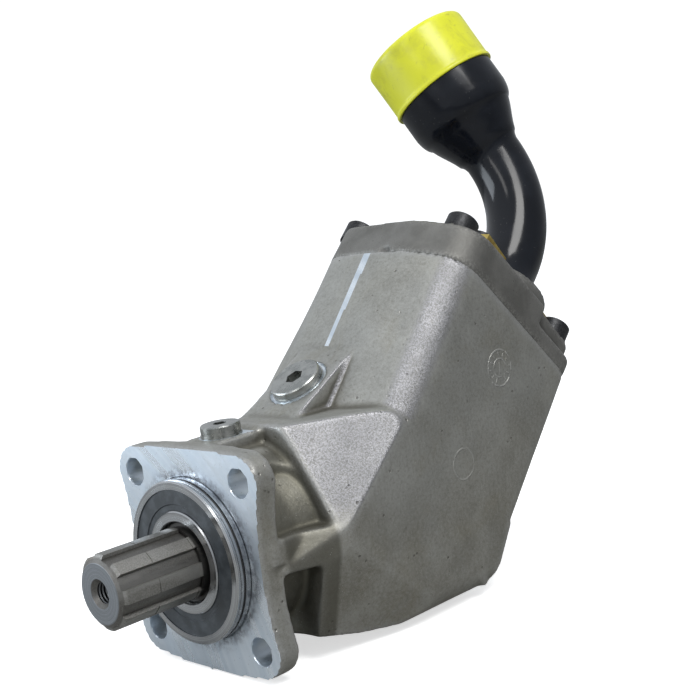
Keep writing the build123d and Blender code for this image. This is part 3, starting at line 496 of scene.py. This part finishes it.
def cover_plastic():
    """Thin yellow polyethylene with grimy fingerprints, scuffs and soft dents."""
    s = Shader("yellow_plastic")
    grime = s.noise(52.0, 5.0, 0.68, None, 0.5)
    tone = s.noise(18.0, 2.0, 0.5)
    scuff = s.noise(420.0, 3.0, 0.7, s.stretched((1.0, 0.3, 0.5)))
    colour = s.mix(s.spread(tone, 0.35, 0.65), (0.60, 0.615, 0.012), (0.74, 0.76, 0.030))
    colour = s.mix(s.spread(grime, 0.46, 0.74, 0.0, 0.62), colour, (0.43, 0.43, 0.045))
    colour = s.mix(s.spread(scuff, 0.58, 0.78, 0.0, 0.4), colour, (0.24, 0.235, 0.05))
    shiny = s.spread(s.noise(34.0, 2.0), 0.4, 0.62, 0.30, 0.44)
    s.set(Base_Color=colour, Roughness=shiny, IOR=1.5)
    s.set(Subsurface_Weight=0.2, Subsurface_Scale=0.003)
    s.bsdf.inputs["Subsurface Radius"].default_value = (1.0, 1.0, 0.2)
    s.bump(s.math("ADD", s.noise(70.0, 3.0, 0.5), s.math("MULTIPLY", scuff, 0.12)), 0.0005, 0.35)
    return s.material


def rubber(name, dark, light, rough):
    s = Shader(name)
    bloom = s.noise(160.0, 4.0, 0.65)
    grain = s.noise(2600.0, 2.0, 0.6)
    r, h = s.radius(SHAFT_AXIS, SHAFT_AT)
    ring = s.noise(1300.0, 1.0, 0.4, s.combine(r, 0.0, 0.0))
    colour = s.mix(s.spread(bloom, 0.4, 0.7), dark, light)
    s.set(Base_Color=colour, Roughness=s.spread(bloom, 0.35, 0.7, rough, rough + 0.14))
    s.bump(s.math("ADD", grain, ring), 0.00004, 0.6)
    return s.material


def plated(name, dark, light, rough):
    """Zinc-plated steel with a fine crystalline grain and smeared passivation."""
    s = Shader(name)
    grain = s.noise(1900.0, 3.0, 0.6)
    smear = s.noise(120.0, 4.0, 0.65)
    tint = s.noise(60.0, 2.0, 0.5)
    colour = s.mix(s.spread(smear, 0.38, 0.66), dark, light)
    colour = s.mix(s.spread(tint, 0.5, 0.7, 0.0, 0.3), colour, tuple(0.7 * c for c in light))
    specks = s.math("MULTIPLY", s.below(s.cells(900.0), 0.12, 0.05), s.spread(s.noise(200.0), 0.5, 0.66))
    colour = s.mix(s.math("MULTIPLY", specks, 0.5), colour, tuple(0.25 * c for c in dark))
    s.set(Base_Color=colour, Metallic=1.0, Roughness=s.spread(smear, 0.35, 0.7, rough, rough + 0.16))
    s.bump(s.math("ADD", grain, s.math("MULTIPLY", smear, 0.4)), 0.00004, 0.6)
    return s.material


ON_SHAFT = (SHAFT_AXIS, SHAFT_AT)
ON_BARREL = (B_DIR, PIVOT)
STEEL_DARK = (0.36, 0.37, 0.385)
STEEL_LIGHT = (0.58, 0.59, 0.60)
HARD_DARK = (0.22, 0.225, 0.24)
HARD_LIGHT = (0.36, 0.365, 0.38)
materials = {
    "cast_aluminium": cast_aluminium(),
    "cast_iron_cap": cap_iron(),
    "black_screws": black_oxide(),
    "ground_steel": turned_steel("ground_steel", STEEL_DARK, STEEL_LIGHT, 0.20, *ON_SHAFT),
    "plain_steel": turned_steel("plain_steel", (0.25, 0.25, 0.255), (0.4, 0.4, 0.41), 0.32, *ON_SHAFT),
    "hardened_steel": turned_steel("hardened_steel", HARD_DARK, HARD_LIGHT, 0.26, *ON_BARREL),
    "bronze": turned_steel("bronze", (0.36, 0.21, 0.07), (0.55, 0.36, 0.14), 0.30, *ON_BARREL),
    "shaft_steel": phosphated_shaft(),
    "rubber_seals": rubber("rubber_seals", (0.010, 0.010, 0.011), (0.026, 0.026, 0.027), 0.46),
    "bearing_seal_rubber": rubber("bearing_seal_rubber", (0.030, 0.036, 0.042), (0.060, 0.070, 0.080), 0.36),
    "zinc_plated_plugs": plated("zinc_plated_plugs", (0.30, 0.31, 0.30), (0.48, 0.485, 0.47), 0.24),
    "yellow_zinc_clamps": plated("yellow_zinc_clamps", (0.48, 0.33, 0.08), (0.72, 0.56, 0.18), 0.24),
    "black_gloss_paint": gloss_paint(),
    "yellow_plastic": cover_plastic(),
}
slots_of = {p["node"]: p["material_slot"] for p in frame["record"]["subparts"]}


def paint(obj, material):
    """Gives the object this one material."""
    obj.data.materials.clear()
    obj.data.materials.append(material)


for node_name, node in NODES.items():
    paint(node, materials[slots_of[node_name]])


# ---- cast pieces: the CAD shape with the round edges and flow of a real casting ----
def points_of(mesh):
    """The mesh's points, one row each."""
    co = np.zeros(len(mesh.vertices) * 3, np.float32)
    mesh.vertices.foreach_get("co", co)
    return co.reshape(-1, 3).astype(float)


def remeshed(node_name, voxel):
    """Evenly meshed copy of a CAD node."""
    copy = bpy.data.objects.new("remesh_work", NODES[node_name].data.copy())
    bpy.context.scene.collection.objects.link(copy)
    change = copy.modifiers.new("voxels", "REMESH")
    change.mode = "VOXEL"
    change.voxel_size = voxel
    change.adaptivity = 0.0
    graph = bpy.context.evaluated_depsgraph_get()
    mesh = bpy.data.meshes.new_from_object(copy.evaluated_get(graph))
    bpy.data.objects.remove(copy)
    return mesh


def edge_pairs(mesh):
    """The two point numbers of every edge."""
    pairs = np.zeros(len(mesh.edges) * 2, np.int64)
    mesh.edges.foreach_get("vertices", pairs)
    return pairs.reshape(-1, 2)


def relaxed(points, pairs, rounds, share=0.5):
    """Laplacian smoothing: each point moves a share of the way to its neighbours' mean."""
    count = np.bincount(pairs.ravel(), minlength=len(points)).astype(float)[:, None]
    moved = points.copy()
    for _ in range(rounds):
        total = np.zeros_like(moved)
        for axis in range(3):
            total[:, axis] = np.bincount(pairs[:, 0], moved[pairs[:, 1], axis], len(moved))
            total[:, axis] += np.bincount(pairs[:, 1], moved[pairs[:, 0], axis], len(moved))
        moved += share * (total / count - moved)
    return moved


def from_axis(points, origin, direction):
    """Distance from an axis and height along it, for every point."""
    d = np.array(Vector(direction).normalized())
    offset = points - np.array(origin)
    height = offset @ d
    away = offset - height[:, None] * d
    return np.linalg.norm(away, axis=1), height


def face_data(mesh):
    """Centres and unit normals of a mesh's faces."""
    centre = np.zeros(len(mesh.polygons) * 3, np.float32)
    normal = np.zeros(len(mesh.polygons) * 3, np.float32)
    mesh.polygons.foreach_get("center", centre)
    mesh.polygons.foreach_get("normal", normal)
    return centre.reshape(-1, 3).astype(float), normal.reshape(-1, 3).astype(float)


def nearest_faces(node_name, points):
    """For every point, the nearest CAD face and the place on it."""
    source = NODES[node_name].data
    tree = BVHTree.FromPolygons([v.co for v in source.vertices], [p.vertices for p in source.polygons])
    faces = np.zeros(len(points), np.int64)
    places = np.zeros_like(points)
    for i, p in enumerate(points):
        place, _, face, _ = tree.find_nearest(p)
        faces[i] = face
        places[i] = place
    return faces, places


EDGE_CURVE = 0.55 * MM                         # stands this far out of its surroundings
HOLLOW_CURVE = 0.45 * MM                       # or lies this far in them
WAVE_BROAD = 34.0
WAVE_FINE = 90.0
TOUCH = 0.0001                                 # as near as this is on the face
NEAR = 0.0002                                  # as near as this is on the bore


def housing_machined(centre, normal):
    """Which of the housing's CAD faces a cutter made."""
    b = np.array(B_DIR)
    t = (centre - np.array(PIVOT)) @ b
    r_shaft, y = from_axis(centre, SHAFT_AT, SHAFT_AXIS)
    r_barrel, _ = from_axis(centre, PIVOT, B_DIR)
    outward = centre.copy()
    outward[:, 1] = 0
    inside = np.einsum("ij,ij->i", outward, normal) < 0
    made = (np.abs(centre[:, 1]) < TOUCH) & (normal[:, 1] < -0.99)
    made |= (np.abs(t - JOINT_T) < TOUCH) & (normal @ b > 0.99)
    bored = BEARING_BORE_R + NEAR
    made |= (r_shaft < bored) & (y > 0) & (y < 0.107) & (centre[:, 2] < 0.048) & inside
    made |= (r_barrel < CHAMBER_R + NEAR) & (t > 0.005)
    made |= np.linalg.norm(centre - np.array(PIVOT), axis=1) < bored
    for x in (-BOLT_AT, BOLT_AT):
        for z in (-BOLT_AT, BOLT_AT):
            r, _ = from_axis(centre, (x, 0, z), SHAFT_AXIS)
            made |= (r < BOLT_HOLE_R + NEAR) & (centre[:, 1] < FLANGE_T + TOUCH)
    for origin, lean, radius in plug_seats():
        r, h = from_axis(centre, origin, lean)
        made |= (r < radius + NEAR) & (h > -0.032)
    rib = (np.abs(centre[:, 0]) < RIB_HALF + NEAR) & (t > RIB_START)
    made |= rib & (normal @ np.array(E_DIR) > 0.9)
    return made


def plug_seats():
    """Origin, direction and radius of the two plug seats."""
    drain_axis = Vector((0, -0.5, math.cos(math.radians(30))))
    lean = math.radians(2)
    vent_axis = Vector((0, -math.sin(lean), math.cos(lean)))
    return [
        (Vector((0, 0.0805, 0.0689)), drain_axis, DRAIN_SEAT_R),
        (Vector((0, 0.026, 0.0547)), vent_axis, VENT_SEAT_R),
    ]


def cap_machined(centre, normal):
    """Which of the end cap's CAD faces a cutter made."""
    b = np.array(B_DIR)
    t = (centre - np.array(PIVOT)) @ b
    facing = np.abs(normal @ b) > 0.99
    made = facing & ((np.abs(t - JOINT_T) < TOUCH) | (np.abs(t - PORT_T) < TOUCH))
    places = [(*SUCTION_XY, 0.0182), (*PRESSURE_XY, 0.0154)] + [(x, y, 0.0107) for x, y in SCREW_XY]
    for x, y, radius in places:
        r, _ = from_axis(centre, barrel_point(x, y, 0), B_DIR)
        made |= r < radius
    r, _ = from_axis(centre, PIVOT, B_DIR)
    return made | ((r < 0.044) & (t < JOINT_T + 0.018))


def add_attribute(mesh, name, values):
    layer = mesh.attributes.new(name, "FLOAT", "POINT")
    layer.data.foreach_set("value", values.astype(np.float32))


def rim_points(node_name, made, step):
    """Places along the CAD edges where a machined face meets a cast one."""
    mesh = NODES[node_name].data
    sides = {}
    for polygon in mesh.polygons:
        for key in polygon.edge_keys:
            sides.setdefault(key, []).append(bool(made[polygon.index]))
    places = []
    for (a, b), flags in sides.items():
        if len(set(flags)) == 2:
            start = mesh.vertices[a].co
            end = mesh.vertices[b].co
            count = max(1, int((end - start).length / step))
            places += [start.lerp(end, i / count) for i in range(count + 1)]
    return places


def on_rim(node_name, made, points, cut, pairs, voxel):
    """Moves the outermost machined points onto the machined area's true edge."""
    border = np.zeros(len(points), bool)
    crossing = pairs[cut[pairs[:, 0]] != cut[pairs[:, 1]]]
    border[crossing.ravel()] = True
    border &= cut
    places = rim_points(node_name, made, 0.3 * voxel)
    tree = KDTree(len(places))
    for i, place in enumerate(places):
        tree.insert(place, i)
    tree.balance()
    moved = points.copy()
    for i in np.nonzero(border)[0]:
        place, _, gap = tree.find(points[i])
        if gap < 1.1 * voxel:
            moved[i] = place
    return moved


def waviness(place):
    return noise.noise(place * WAVE_BROAD) + 0.5 * noise.noise(place * WAVE_FINE)


def casting(node_name, name, voxel, rounds, machined_faces, swell):
    """Piece that stands for a cast CAD node: round cast edges, true machined faces, slight waviness."""
    mesh = remeshed(node_name, voxel)
    pairs = edge_pairs(mesh)
    shape = points_of(mesh)
    faces, places = nearest_faces(node_name, shape)
    centre, normal = face_data(NODES[node_name].data)
    made = machined_faces(centre, normal)
    cut = made[faces]
    places = on_rim(node_name, made, places, cut, pairs, voxel)
    shape[cut] = places[cut]
    smooth = relaxed(shape, pairs, rounds)
    wave = np.array([waviness(Vector(p)) for p in smooth])
    cast_normal = normal[faces]
    smooth = smooth + cast_normal * (wave * swell)[:, None]
    smooth[cut] = places[cut]
    mesh.vertices.foreach_set("co", smooth.astype(np.float32).ravel())
    mesh.update()
    broad = relaxed(smooth, pairs, 4 * rounds)
    own = np.zeros(len(smooth) * 3, np.float32)
    mesh.vertices.foreach_get("normal", own)
    curve = np.einsum("ij,ij->i", smooth - broad, own.reshape(-1, 3))
    curve = relaxed(curve[:, None].repeat(3, 1), pairs, 3)[:, 0]
    add_attribute(mesh, "edge", np.clip(curve / EDGE_CURVE - 0.15, 0, 1))
    add_attribute(mesh, "hollow", np.clip(-curve / HOLLOW_CURVE - 0.15, 0, 1))
    whole = np.array([all(cut[v] for v in polygon.vertices) for polygon in mesh.polygons])
    layer = mesh.attributes.new("machined", "FLOAT", "FACE")
    layer.data.foreach_set("value", whole.astype(np.float32))
    piece = bpy.data.objects.new(name, mesh)
    bpy.context.scene.collection.objects.link(piece)
    for polygon in mesh.polygons:
        polygon.use_smooth = True
    mesh.set_sharp_from_angle(angle=math.radians(38))
    paint(piece, materials[slots_of[node_name]])
    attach(piece, "casing")
    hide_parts(node_name)
    return piece


VOXEL = 0.0010
ROUNDS = 9
HOUSING_SWELL = 0.12 * MM
CAP_SWELL = 0.10 * MM
casting("pump_housing", "housing_casting", VOXEL, ROUNDS, housing_machined, HOUSING_SWELL)
casting("end_cap", "end_cap_casting", VOXEL, ROUNDS - 1, cap_machined, CAP_SWELL)


# ---- fitting and cover: smooth turned and bent surfaces ----
SEGMENTS = 96
ELBOW_STEPS = 32
RIPPLE_SCALE = 42.0
COVER_RIPPLE = 0.0007
COVER_CORNER = 0.004
COVER_CROWN_R = 0.028
SIDEWAYS = (HOSE_AXIS - B_DIR * HOSE_AXIS.dot(B_DIR)).normalized()
ACROSS = B_DIR.cross(SIDEWAYS)
PORT_AT = barrel_point(*SUCTION_XY, PORT_T)


def bend_station(angle):
    """Centre and the two cross directions of the tube at an angle round the elbow."""
    out = ELBOW_R * (1 - math.cos(angle))
    up = ELBOW_STRAIGHT + ELBOW_R * math.sin(angle)
    side = SIDEWAYS * math.cos(angle) - B_DIR * math.sin(angle)
    return PORT_AT + SIDEWAYS * out + B_DIR * up, side


def hose_station(distance):
    """The same for a place along the straight hose end."""
    centre, side = bend_station(ELBOW_TURN)
    return centre + HOSE_AXIS * distance, side


def swept(name, rings, node_name, body, ripple=0.0):
    """Closed tube through rings of (centre, cross direction, radius), back to the first ring."""
    verts = []
    faces = []
    for centre, side, radius in rings:
        for i in range(SEGMENTS):
            a = 2 * math.pi * i / SEGMENTS
            away = side * math.cos(a) + ACROSS * math.sin(a)
            wave = 0.5 + 0.5 * noise.noise((centre + away * radius) * RIPPLE_SCALE)
            verts.append(centre + away * (radius - ripple * wave * min(1.0, radius / 0.02)))
    count = len(rings)
    for k in range(count):
        for i in range(SEGMENTS):
            j = (i + 1) % SEGMENTS
            m = (k + 1) % count
            faces.append((k * SEGMENTS + i, k * SEGMENTS + j, m * SEGMENTS + j, m * SEGMENTS + i))
    mesh = bpy.data.meshes.new(name)
    mesh.from_pydata(verts, [], faces)
    work = bmesh.new()
    work.from_mesh(mesh)
    bmesh.ops.recalc_face_normals(work, faces=work.faces)
    work.to_mesh(mesh)
    work.free()
    for polygon in mesh.polygons:
        polygon.use_smooth = True
    mesh.set_sharp_from_angle(angle=math.radians(40))
    piece = bpy.data.objects.new(name, mesh)
    bpy.context.scene.collection.objects.link(piece)
    paint(piece, materials[slots_of[node_name]])
    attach(piece, body)
    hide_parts(node_name)


def hose_profile(inset):
    """Radii along the hose end: flared cone, rounded shoulder, straight end."""
    points = [(0.0, TUBE_R), (0.005, 0.0187), (0.023, 0.0290), (0.028, 0.0310)]
    points.append((CONE_L, HOSE_END_R))
    stations = []
    for (z0, r0), (z1, r1) in zip(points, points[1:]):
        stations += [(z0 + (z1 - z0) * i / 5, r0 + (r1 - r0) * i / 5) for i in range(5)]
    stations.append(points[-1])
    radii = [r for _, r in stations]
    for _ in range(6):
        radii[1:-1] = [(a + 2 * b + c) / 4 for a, b, c in zip(radii, radii[1:-1], radii[2:])]
    end = CONE_L + HOSE_END_L
    return [(z, r - inset) for (z, _), r in zip(stations, radii)] + [(end, HOSE_END_R - inset)]


def fitting_rings():
    """Rings round the suction fitting: port spigot and collar, elbow, hose end, and back inside."""
    spigot = [(-0.0140, 0.0172), (-0.0130, 0.01795), (-0.0094, 0.01795), (-0.0094, 0.0163), (-0.0068, 0.0163)]
    spigot += [(-0.0068, 0.01795), (0.0001, 0.01795), (0.0001, 0.0225), (0.0034, 0.0225), (0.0039, 0.0220)]
    spigot += [(0.0040, 0.0179), (0.0046, TUBE_R)]
    outer = [(PORT_AT + B_DIR * z, SIDEWAYS, r) for z, r in spigot]
    turns = [ELBOW_TURN * i / ELBOW_STEPS for i in range(ELBOW_STEPS)]
    outer += [(*bend_station(a), TUBE_R) for a in turns]
    outer += [(*hose_station(z), r) for z, r in hose_profile(0.0)]
    inner = [(*hose_station(z), r) for z, r in reversed(hose_profile(TUBE_WALL))]
    inner += [(*bend_station(a), TUBE_R - TUBE_WALL) for a in reversed(turns)]
    inner.append((PORT_AT - B_DIR * 0.0140, SIDEWAYS, TUBE_R - TUBE_WALL))
    return outer + inner


def cover_rings():
    """Rings round the yellow cover: rolled lip, wall, rounded corner and crowned end, and back inside."""
    r_in = HOSE_END_R + 0.0002
    r_out = r_in + COVER_WALL
    top = COVER_START + COVER_REACH
    lip = [(0.0, r_in + 0.0003), (0.0, r_out + 0.0004), (0.0004, r_out + 0.0006), (0.0018, r_out + 0.0006)]
    lip += [(0.0023, r_out + 0.0002), (0.0026, r_out)]
    profile = [(COVER_START + z, r) for z, r in lip]
    profile += [(COVER_START + 0.004 + 0.0026 * i, r_out) for i in range(10)]
    for i in range(9):
        a = math.pi / 2 * i / 8
        across = r_out - COVER_CORNER + COVER_CORNER * math.cos(a)
        profile.append((top - COVER_CORNER + COVER_CORNER * math.sin(a), across))
    crown = [(-0.0006 * (1 - r / COVER_CROWN_R), r) for r in (0.024, 0.018, 0.012, 0.006, 0.0001)]
    profile += [(top + sag, r) for sag, r in crown]
    under = top - COVER_WALL
    profile += [(under + sag, r) for sag, r in reversed(crown)]
    profile += [(under - 0.0002, r_in - 0.003), (under - 0.0009, r_in - 0.0009), (under - 0.003, r_in)]
    return [(*hose_station(z), r) for z, r in profile]


swept("fitting_tube", fitting_rings(), "suction_fitting", "suction_fitting")
swept("cover_cup", cover_rings(), "protective_cap", "protective_cap", COVER_RIPPLE)

for node_name in NODES:
    if node_name not in ("pump_housing", "end_cap", "suction_fitting", "protective_cap"):
        for polygon in NODES[node_name].data.polygons:
            polygon.use_smooth = True
        NODES[node_name].data.set_sharp_from_angle(angle=math.radians(30))


# ---- studio ----
MIDDLE = (0.0, 0.10, 0.06)
FLOOR_REACH = 6.0
FLOOR_GLOW = 0.62
BRIGHT_SIDE = (-0.55, -0.45, 0.70)             # the room is lighter towards here
ROOM_COLOUR = (0.86, 0.90, 0.95, 1.0)
ROOM_DIM = 0.27
ROOM_BRIGHT = 0.85
BACKDROP = 1.1
SOFTBOXES = [                                  # name, place, width and height, watts, colour
    ("window", (-1.15, -1.15, 0.22), (1.0, 1.0), 15.5, (0.84, 0.92, 1.0)),
    ("ceiling", (0.75, -0.10, 1.15), (0.55, 0.7), 11.5, (1.0, 0.99, 0.97)),
    ("front", (0.3, -1.5, 1.0), (0.3, 1.0), 3.0, (1.0, 0.99, 0.97)),
]


def make_floor():
    """Plain pale floor, brighter to the camera than the light it throws back."""
    low = cad_box[0].z
    mesh = bpy.data.meshes.new("floor")
    reach = FLOOR_REACH
    corners = [(-reach, -reach, low), (reach, -reach, low), (reach, reach, low), (-reach, reach, low)]
    mesh.from_pydata(corners, [], [(0, 1, 2, 3)])
    floor = bpy.data.objects.new("floor", mesh)
    bpy.context.scene.collection.objects.link(floor)
    s = Shader("floor")
    path = s.tree.nodes.new("ShaderNodeLightPath").outputs["Is Camera Ray"]
    s.set(Base_Color=s.mix(path, (0.30, 0.30, 0.29), (0.93, 0.93, 0.93)), Roughness=0.9)
    s.set(Emission_Color=(1.0, 1.0, 1.0, 1.0), Emission_Strength=s.math("MULTIPLY", path, FLOOR_GLOW))
    paint(floor, s.material)


def softbox(name, at, size, power, colour):
    """Rectangular area light aimed at the pump's middle."""
    data = bpy.data.lights.new(name, "AREA")
    data.shape = "RECTANGLE"
    data.size, data.size_y = size
    data.energy = power
    data.color = colour
    light = bpy.data.objects.new(name, data)
    bpy.context.scene.collection.objects.link(light)
    direction = Vector(MIDDLE) - Vector(at)
    turn = direction.to_track_quat("-Z", "Y").to_matrix().to_4x4()
    light.matrix_world = Matrix.Translation(at) @ turn


def make_world():
    """Soft room light for the object, and a white backdrop for the camera."""
    world = bpy.data.worlds.new("studio")
    world.use_nodes = True
    bpy.context.scene.world = world
    tree = world.node_tree
    tree.nodes.clear()
    out = tree.nodes.new("ShaderNodeOutputWorld")
    room = tree.nodes.new("ShaderNodeBackground")
    white = tree.nodes.new("ShaderNodeBackground")
    pick = tree.nodes.new("ShaderNodeMixShader")
    path = tree.nodes.new("ShaderNodeLightPath")
    room.inputs["Color"].default_value = ROOM_COLOUR
    where = tree.nodes.new("ShaderNodeTexCoord")
    toward = tree.nodes.new("ShaderNodeVectorMath")
    toward.operation = "DOT_PRODUCT"
    toward.inputs[1].default_value = BRIGHT_SIDE
    level = tree.nodes.new("ShaderNodeMapRange")
    level.inputs["From Min"].default_value = -0.7
    level.inputs["From Max"].default_value = 0.9
    level.inputs["To Min"].default_value = ROOM_DIM
    level.inputs["To Max"].default_value = ROOM_BRIGHT
    tree.links.new(where.outputs["Generated"], toward.inputs[0])
    tree.links.new(toward.outputs["Value"], level.inputs["Value"])
    tree.links.new(level.outputs[0], room.inputs["Strength"])
    white.inputs["Color"].default_value = (1.0, 1.0, 1.0, 1.0)
    white.inputs["Strength"].default_value = BACKDROP
    tree.links.new(path.outputs["Is Camera Ray"], pick.inputs[0])
    tree.links.new(room.outputs[0], pick.inputs[1])
    tree.links.new(white.outputs[0], pick.inputs[2])
    tree.links.new(pick.outputs[0], out.inputs["Surface"])


make_floor()
make_world()
for name, at, size, power, colour in SOFTBOXES:
    softbox(name, at, size, power, colour)
bpy.context.scene.view_settings.view_transform = "Standard"
